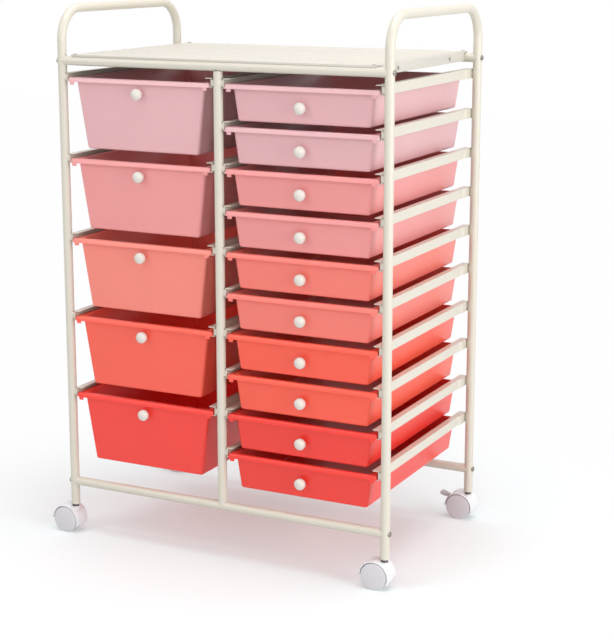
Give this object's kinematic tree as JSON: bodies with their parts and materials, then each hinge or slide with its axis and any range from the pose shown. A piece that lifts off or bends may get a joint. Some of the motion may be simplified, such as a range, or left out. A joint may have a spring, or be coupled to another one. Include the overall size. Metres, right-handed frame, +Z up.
{
  "type": "wheeled drawer cart",
  "caption": "Wheeled steel-tube cart with two bays of sliding plastic drawers, a top shelf, end handles and twin-wheel casters.",
  "frame": {"origin": "on the floor, midway between the four side posts", "axes": "+X to the right as seen from the drawer fronts, +Y from the fronts to the back, +Z up; the casters trail to -X"},
  "size_m": [0.685, 0.4208, 0.9545],
  "materials": {
    "frame_paint": "cream powder coat, satin",
    "rail_paint": "cream powder coat, satin",
    "frame_screw_steel": "zinc plated",
    "insert_steel": "zinc plated",
    "shelf_panel": "cream moulded panel, satin",
    "shelf_screw_steel": "zinc plated",
    "plug_plastic": "cream moulded plastic",
    "stem_steel": "dark plated steel",
    "hood_plastic": "white moulded plastic",
    "wheel_plastic": "light grey moulded plastic",
    "brake_plastic": "grey moulded plastic",
    "knob_plastic": "white moulded plastic",
    "large_drawer_1_plastic": "satin moulded polypropylene",
    "large_drawer_2_plastic": "satin moulded polypropylene",
    "large_drawer_3_plastic": "satin moulded polypropylene",
    "large_drawer_4_plastic": "satin moulded polypropylene",
    "large_drawer_5_plastic": "satin moulded polypropylene",
    "small_drawer_1_plastic": "satin moulded polypropylene",
    "small_drawer_2_plastic": "satin moulded polypropylene",
    "small_drawer_3_plastic": "satin moulded polypropylene",
    "small_drawer_4_plastic": "satin moulded polypropylene",
    "small_drawer_5_plastic": "satin moulded polypropylene",
    "small_drawer_6_plastic": "satin moulded polypropylene",
    "small_drawer_7_plastic": "satin moulded polypropylene",
    "small_drawer_8_plastic": "satin moulded polypropylene",
    "small_drawer_9_plastic": "satin moulded polypropylene",
    "small_drawer_10_plastic": "satin moulded polypropylene"
  },
  "bodies": {
    "frame": {"left_side_frame": "frame_paint", "right_side_frame": "frame_paint", "top_front_bar": "frame_paint", "top_rear_bar": "frame_paint", "bottom_front_bar": "frame_paint", "bottom_rear_bar": "frame_paint", "centre_front_post": "frame_paint", "centre_rear_post": "frame_paint", "tube_inserts": "insert_steel", "frame_screws": "frame_screw_steel", "left_bay_rails": "rail_paint", "right_bay_rails": "rail_paint", "top_shelf": "shelf_panel", "shelf_screws": "shelf_screw_steel", "post_plugs": "plug_plastic", "caster_stems": "stem_steel"},
    "front_left_caster": {"front_left_hood": "hood_plastic"},
    "front_left_wheel_a": {"front_left_wheel_a": "wheel_plastic"},
    "front_left_wheel_b": {"front_left_wheel_b": "wheel_plastic"},
    "front_right_caster": {"front_right_hood": "hood_plastic"},
    "front_right_wheel_a": {"front_right_wheel_a": "wheel_plastic"},
    "front_right_wheel_b": {"front_right_wheel_b": "wheel_plastic"},
    "rear_left_caster": {"rear_left_hood": "hood_plastic"},
    "rear_left_wheel_a": {"rear_left_wheel_a": "wheel_plastic"},
    "rear_left_wheel_b": {"rear_left_wheel_b": "wheel_plastic"},
    "rear_left_brake": {"rear_left_brake": "brake_plastic"},
    "rear_right_caster": {"rear_right_hood": "hood_plastic"},
    "rear_right_wheel_a": {"rear_right_wheel_a": "wheel_plastic"},
    "rear_right_wheel_b": {"rear_right_wheel_b": "wheel_plastic"},
    "rear_right_brake": {"rear_right_brake": "brake_plastic"},
    "large_drawer_1": {"large_drawer_1": "large_drawer_1_plastic", "large_knob_1": "knob_plastic"},
    "large_drawer_2": {"large_drawer_2": "large_drawer_2_plastic", "large_knob_2": "knob_plastic"},
    "large_drawer_3": {"large_drawer_3": "large_drawer_3_plastic", "large_knob_3": "knob_plastic"},
    "large_drawer_4": {"large_drawer_4": "large_drawer_4_plastic", "large_knob_4": "knob_plastic"},
    "large_drawer_5": {"large_drawer_5": "large_drawer_5_plastic", "large_knob_5": "knob_plastic"},
    "small_drawer_1": {"small_drawer_1": "small_drawer_1_plastic", "small_knob_1": "knob_plastic"},
    "small_drawer_2": {"small_drawer_2": "small_drawer_2_plastic", "small_knob_2": "knob_plastic"},
    "small_drawer_3": {"small_drawer_3": "small_drawer_3_plastic", "small_knob_3": "knob_plastic"},
    "small_drawer_4": {"small_drawer_4": "small_drawer_4_plastic", "small_knob_4": "knob_plastic"},
    "small_drawer_5": {"small_drawer_5": "small_drawer_5_plastic", "small_knob_5": "knob_plastic"},
    "small_drawer_6": {"small_drawer_6": "small_drawer_6_plastic", "small_knob_6": "knob_plastic"},
    "small_drawer_7": {"small_drawer_7": "small_drawer_7_plastic", "small_knob_7": "knob_plastic"},
    "small_drawer_8": {"small_drawer_8": "small_drawer_8_plastic", "small_knob_8": "knob_plastic"},
    "small_drawer_9": {"small_drawer_9": "small_drawer_9_plastic", "small_knob_9": "knob_plastic"},
    "small_drawer_10": {"small_drawer_10": "small_drawer_10_plastic", "small_knob_10": "knob_plastic"}
  },
  "joints": [
    {"name": "front_left_swivel", "type": "hinge", "parent": "frame", "child": "front_left_caster", "pos_m": [-0.3095, -0.192, 0.045], "axis": [0, 0, 1], "continuous": true},
    {"name": "front_left_wheel_a_spin", "type": "hinge", "parent": "front_left_caster", "child": "front_left_wheel_a", "pos_m": [-0.3235, -0.2036, 0.0235], "axis": [0, 1, 0], "continuous": true},
    {"name": "front_left_wheel_b_spin", "type": "hinge", "parent": "front_left_caster", "child": "front_left_wheel_b", "pos_m": [-0.3235, -0.1804, 0.0235], "axis": [0, 1, 0], "continuous": true},
    {"name": "front_right_swivel", "type": "hinge", "parent": "frame", "child": "front_right_caster", "pos_m": [0.3095, -0.192, 0.045], "axis": [0, 0, 1], "continuous": true},
    {"name": "front_right_wheel_a_spin", "type": "hinge", "parent": "front_right_caster", "child": "front_right_wheel_a", "pos_m": [0.2955, -0.2036, 0.0235], "axis": [0, 1, 0], "continuous": true},
    {"name": "front_right_wheel_b_spin", "type": "hinge", "parent": "front_right_caster", "child": "front_right_wheel_b", "pos_m": [0.2955, -0.1804, 0.0235], "axis": [0, 1, 0], "continuous": true},
    {"name": "rear_left_swivel", "type": "hinge", "parent": "frame", "child": "rear_left_caster", "pos_m": [-0.3095, 0.192, 0.045], "axis": [0, 0, 1], "continuous": true},
    {"name": "rear_left_wheel_a_spin", "type": "hinge", "parent": "rear_left_caster", "child": "rear_left_wheel_a", "pos_m": [-0.3235, 0.1804, 0.0235], "axis": [0, 1, 0], "continuous": true},
    {"name": "rear_left_wheel_b_spin", "type": "hinge", "parent": "rear_left_caster", "child": "rear_left_wheel_b", "pos_m": [-0.3235, 0.2036, 0.0235], "axis": [0, 1, 0], "continuous": true},
    {"name": "rear_left_brake_press", "type": "hinge", "parent": "rear_left_caster", "child": "rear_left_brake", "pos_m": [-0.3375, 0.192, 0.036], "axis": [0, -1, 0], "range_deg": [0, 18]},
    {"name": "rear_right_swivel", "type": "hinge", "parent": "frame", "child": "rear_right_caster", "pos_m": [0.3095, 0.192, 0.045], "axis": [0, 0, 1], "continuous": true},
    {"name": "rear_right_wheel_a_spin", "type": "hinge", "parent": "rear_right_caster", "child": "rear_right_wheel_a", "pos_m": [0.2955, 0.1804, 0.0235], "axis": [0, 1, 0], "continuous": true},
    {"name": "rear_right_wheel_b_spin", "type": "hinge", "parent": "rear_right_caster", "child": "rear_right_wheel_b", "pos_m": [0.2955, 0.2036, 0.0235], "axis": [0, 1, 0], "continuous": true},
    {"name": "rear_right_brake_press", "type": "hinge", "parent": "rear_right_caster", "child": "rear_right_brake", "pos_m": [0.2815, 0.192, 0.036], "axis": [0, -1, 0], "range_deg": [0, 18]},
    {"name": "large_drawer_1_slide", "type": "slide", "parent": "frame", "child": "large_drawer_1", "axis": [0, -1, 0], "range_m": [0, 0.3]},
    {"name": "large_drawer_2_slide", "type": "slide", "parent": "frame", "child": "large_drawer_2", "axis": [0, -1, 0], "range_m": [0, 0.3]},
    {"name": "large_drawer_3_slide", "type": "slide", "parent": "frame", "child": "large_drawer_3", "axis": [0, -1, 0], "range_m": [0, 0.3]},
    {"name": "large_drawer_4_slide", "type": "slide", "parent": "frame", "child": "large_drawer_4", "axis": [0, -1, 0], "range_m": [0, 0.3]},
    {"name": "large_drawer_5_slide", "type": "slide", "parent": "frame", "child": "large_drawer_5", "axis": [0, -1, 0], "range_m": [0, 0.3]},
    {"name": "small_drawer_1_slide", "type": "slide", "parent": "frame", "child": "small_drawer_1", "axis": [0, -1, 0], "range_m": [0, 0.3]},
    {"name": "small_drawer_2_slide", "type": "slide", "parent": "frame", "child": "small_drawer_2", "axis": [0, -1, 0], "range_m": [0, 0.3]},
    {"name": "small_drawer_3_slide", "type": "slide", "parent": "frame", "child": "small_drawer_3", "axis": [0, -1, 0], "range_m": [0, 0.3]},
    {"name": "small_drawer_4_slide", "type": "slide", "parent": "frame", "child": "small_drawer_4", "axis": [0, -1, 0], "range_m": [0, 0.3]},
    {"name": "small_drawer_5_slide", "type": "slide", "parent": "frame", "child": "small_drawer_5", "axis": [0, -1, 0], "range_m": [0, 0.3]},
    {"name": "small_drawer_6_slide", "type": "slide", "parent": "frame", "child": "small_drawer_6", "axis": [0, -1, 0], "range_m": [0, 0.3]},
    {"name": "small_drawer_7_slide", "type": "slide", "parent": "frame", "child": "small_drawer_7", "axis": [0, -1, 0], "range_m": [0, 0.3]},
    {"name": "small_drawer_8_slide", "type": "slide", "parent": "frame", "child": "small_drawer_8", "axis": [0, -1, 0], "range_m": [0, 0.3]},
    {"name": "small_drawer_9_slide", "type": "slide", "parent": "frame", "child": "small_drawer_9", "axis": [0, -1, 0], "range_m": [0, 0.3]},
    {"name": "small_drawer_10_slide", "type": "slide", "parent": "frame", "child": "small_drawer_10", "axis": [0, -1, 0], "range_m": [0, 0.3]}
  ]
}
